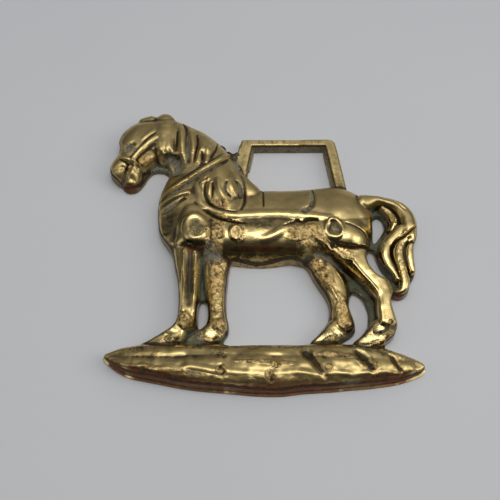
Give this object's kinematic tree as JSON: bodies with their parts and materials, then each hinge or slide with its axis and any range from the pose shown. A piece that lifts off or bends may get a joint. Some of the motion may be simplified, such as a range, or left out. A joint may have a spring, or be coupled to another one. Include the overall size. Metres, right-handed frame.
{
  "type": "horse brass",
  "caption": "Cast brass harness ornament: a harnessed cart horse in relief on a strip of ground, with a strap loop above its back.",
  "frame": {"origin": "middle of the bounding box on the flat back, which lies on the surface", "axes": "+Z out of the relief side, +X toward the horse's tail, +Y toward its ears"},
  "size_m": [0.0848, 0.0816, 0.0084],
  "materials": {
    "cast_brass": "polished on the raised parts, dull and slightly green in the hollows"
  },
  "bodies": {
    "root": {"horse_brass": "cast_brass"}
  },
  "joints": []
}
